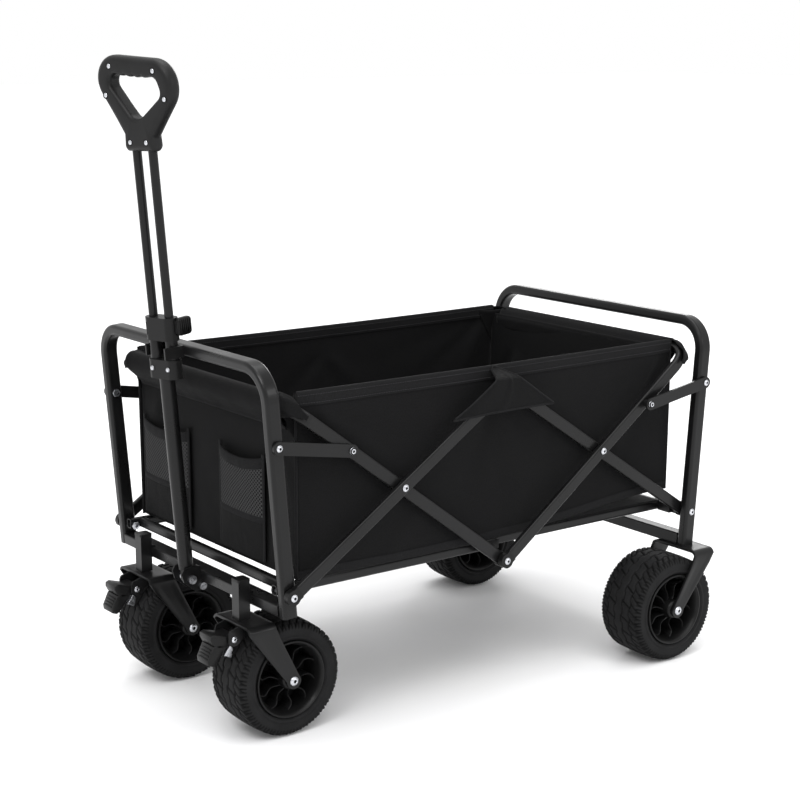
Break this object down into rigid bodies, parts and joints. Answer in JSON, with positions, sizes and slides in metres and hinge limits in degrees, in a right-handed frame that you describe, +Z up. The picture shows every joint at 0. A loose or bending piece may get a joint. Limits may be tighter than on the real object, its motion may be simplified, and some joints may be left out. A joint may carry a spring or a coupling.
{
  "type": "folding camp wagon",
  "caption": "Collapsible utility wagon: hinged tube frame, open fabric tub, telescopic pull handle with loop grip, and wide wheels with swivelling braked front casters.",
  "frame": {"origin": "centre of the bounding box's bottom face, on the ground", "axes": "+X from the handle end to the rear, +Y across the wagon, +Z up"},
  "size_m": [0.9807, 0.643, 1.0364],
  "materials": {
    "frame_paint": "satin powder coat",
    "bar_paint": "satin powder coat",
    "strap_paint": "satin powder coat",
    "black_plastic": "fine grain",
    "zinc_steel": "zinc plated",
    "polyester": "coarse woven polyester",
    "pocket_mesh": "mesh and woven polyester",
    "tread_rubber": "matte, moulded tread"
  },
  "bodies": {
    "front_frame": {"front_frame": "frame_paint", "front_cross_bar": "frame_paint", "caster_posts": "frame_paint", "post_caps": "black_plastic", "handle_bracket": "strap_paint", "handle_bracket_bolts": "zinc_steel", "bracket_spring": "zinc_steel", "handle_clip": "black_plastic", "front_pivot_bolts": "zinc_steel"},
    "front_outer": {"front_outer_bars": "bar_paint", "front_outer_caps": "black_plastic", "front_bar_bolts": "zinc_steel"},
    "front_u": {"front_u_bar": "bar_paint", "front_u_caps": "black_plastic"},
    "rear_outer": {"rear_outer_bars": "bar_paint", "rear_outer_caps": "black_plastic", "rear_bar_bolts": "zinc_steel"},
    "rear_u": {"rear_u_bar": "bar_paint", "rear_u_caps": "black_plastic", "bottom_pivot_bolts": "zinc_steel"},
    "rear_frame": {"rear_frame": "frame_paint", "rear_cross_bar": "frame_paint", "rear_forks": "strap_paint", "rear_pivot_bolts": "zinc_steel"},
    "front_links": {"front_links": "strap_paint"},
    "rear_links": {"rear_links": "strap_paint"},
    "floor_front": {"floor_frame_front": "frame_paint", "floor_blocks_front": "black_plastic"},
    "floor_rear": {"floor_frame_rear": "frame_paint", "floor_blocks_rear": "black_plastic"},
    "basket": {"basket_front_wall": "polyester", "basket_rear_wall": "polyester", "basket_side_walls": "polyester", "basket_floor": "polyester", "front_pockets": "pocket_mesh", "tube_hoods": "polyester", "apex_flaps": "polyester"},
    "handle": {"handle_tube": "bar_paint", "handle_lower_collar": "black_plastic", "handle_sleeves": "bar_paint", "handle_upper_collar": "black_plastic"},
    "lock_lever": {"lock_lever": "black_plastic"},
    "handle_grip": {"handle_rods": "bar_paint", "grip": "black_plastic", "grip_screws": "zinc_steel"},
    "caster_left": {"caster_fork_left": "strap_paint"},
    "caster_right": {"caster_fork_right": "strap_paint"},
    "pedal_left": {"brake_pedal_left": "black_plastic"},
    "pedal_right": {"brake_pedal_right": "black_plastic"},
    "wheel_front_left": {"wheel_hub_front_left": "black_plastic", "tyre_front_left": "tread_rubber"},
    "wheel_front_right": {"wheel_hub_front_right": "black_plastic", "tyre_front_right": "tread_rubber"},
    "wheel_rear_left": {"wheel_hub_rear_left": "black_plastic", "tyre_rear_left": "tread_rubber"},
    "wheel_rear_right": {"wheel_hub_rear_right": "black_plastic", "tyre_rear_right": "tread_rubber"}
  },
  "joints": [
    {"name": "fold", "type": "hinge", "parent": "front_frame", "child": "front_outer", "pos_m": [-0.368, 0, 0.249], "axis": [0, -1, 0], "range_deg": [0, 50.8], "deforming": ["basket_front_wall", "basket_rear_wall", "basket_side_walls", "basket_floor", "front_pockets", "tube_hoods", "apex_flaps"]},
    {"name": "front_crossing", "type": "hinge", "parent": "front_outer", "child": "front_u", "pos_m": [-0.163, 0, 0.3855], "axis": [0, -1, 0], "range_deg": [-90.2, 0]},
    {"name": "apex_pivot", "type": "hinge", "parent": "front_outer", "child": "rear_outer", "pos_m": [0.042, 0, 0.522], "axis": [0, -1, 0], "range_deg": [-92.9, 0]},
    {"name": "rear_lower_pivot", "type": "hinge", "parent": "rear_outer", "child": "rear_frame", "pos_m": [0.452, 0, 0.249], "axis": [0, -1, 0], "range_deg": [0, 51.1]},
    {"name": "rear_crossing", "type": "hinge", "parent": "rear_outer", "child": "rear_u", "pos_m": [0.247, 0, 0.3855], "axis": [0, -1, 0], "range_deg": [0, 90.2]},
    {"name": "front_link_pivot", "type": "hinge", "parent": "front_frame", "child": "front_links", "pos_m": [-0.38597, 0, 0.47729], "axis": [0, -1, 0], "range_deg": [0, 93.7]},
    {"name": "rear_link_pivot", "type": "hinge", "parent": "rear_frame", "child": "rear_links", "pos_m": [0.46997, 0, 0.47729], "axis": [0, -1, 0], "range_deg": [-93.7, 0]},
    {"name": "front_floor_hinge", "type": "hinge", "parent": "front_frame", "child": "floor_front", "pos_m": [-0.368, 0, 0.249], "axis": [0, -1, 0], "range_deg": [0, 82.7]},
    {"name": "rear_floor_hinge", "type": "hinge", "parent": "rear_frame", "child": "floor_rear", "pos_m": [0.452, 0, 0.249], "axis": [0, -1, 0], "range_deg": [-82.7, 0]},
    {"name": "basket_lift", "type": "slide", "parent": "front_frame", "child": "basket", "axis": [-0.0785, 0, 0.9969], "range_m": [0, 0.201]},
    {"name": "handle_pivot", "type": "hinge", "parent": "front_frame", "child": "handle", "pos_m": [-0.39521, 0, 0.21877], "axis": [0, -1, 0], "range_deg": [0, 95]},
    {"name": "telescope", "type": "slide", "parent": "handle", "child": "handle_grip", "axis": [-0.0785, 0, 0.9969], "range_m": [-0.03, 0]},
    {"name": "lever_hinge", "type": "hinge", "parent": "handle", "child": "lock_lever", "pos_m": [-0.39524, -0.02702, 0.62803], "axis": [-0.0785, 0, 0.9969], "range_deg": [0, 70]},
    {"name": "caster_left_swivel", "type": "hinge", "parent": "front_frame", "child": "caster_left", "pos_m": [-0.389, -0.154, 0.22], "axis": [0, 0, 1], "continuous": true},
    {"name": "wheel_front_left_spin", "type": "hinge", "parent": "caster_left", "child": "wheel_front_left", "pos_m": [-0.329, -0.154, 0.092], "axis": [0, 1, 0], "continuous": true},
    {"name": "brake_left_pivot", "type": "hinge", "parent": "caster_left", "child": "pedal_left", "pos_m": [-0.415, -0.154, 0.168], "axis": [0, -1, 0], "range_deg": [0, 12]},
    {"name": "wheel_rear_left_spin", "type": "hinge", "parent": "rear_frame", "child": "wheel_rear_left", "pos_m": [0.387, -0.264, 0.092], "axis": [0, 1, 0], "continuous": true},
    {"name": "caster_right_swivel", "type": "hinge", "parent": "front_frame", "child": "caster_right", "pos_m": [-0.389, 0.154, 0.22], "axis": [0, 0, 1], "continuous": true},
    {"name": "wheel_front_right_spin", "type": "hinge", "parent": "caster_right", "child": "wheel_front_right", "pos_m": [-0.329, 0.154, 0.092], "axis": [0, 1, 0], "continuous": true},
    {"name": "brake_right_pivot", "type": "hinge", "parent": "caster_right", "child": "pedal_right", "pos_m": [-0.415, 0.154, 0.168], "axis": [0, -1, 0], "range_deg": [0, 12]},
    {"name": "wheel_rear_right_spin", "type": "hinge", "parent": "rear_frame", "child": "wheel_rear_right", "pos_m": [0.387, 0.264, 0.092], "axis": [0, 1, 0], "continuous": true}
  ],
  "couplings": [
    {"joint": "front_crossing", "follows": "fold", "ratio": -1.77},
    {"joint": "apex_pivot", "follows": "fold", "ratio": -1.823},
    {"joint": "rear_lower_pivot", "follows": "fold", "ratio": 1},
    {"joint": "rear_crossing", "follows": "fold", "ratio": 1.77},
    {"joint": "front_link_pivot", "follows": "fold", "ratio": 1.839},
    {"joint": "rear_link_pivot", "follows": "fold", "ratio": -1.839},
    {"joint": "front_floor_hinge", "follows": "fold", "ratio": 1.622},
    {"joint": "rear_floor_hinge", "follows": "fold", "ratio": -1.622},
    {"joint": "basket_lift", "follows": "fold", "m_per_rad": 0.2256}
  ]
}
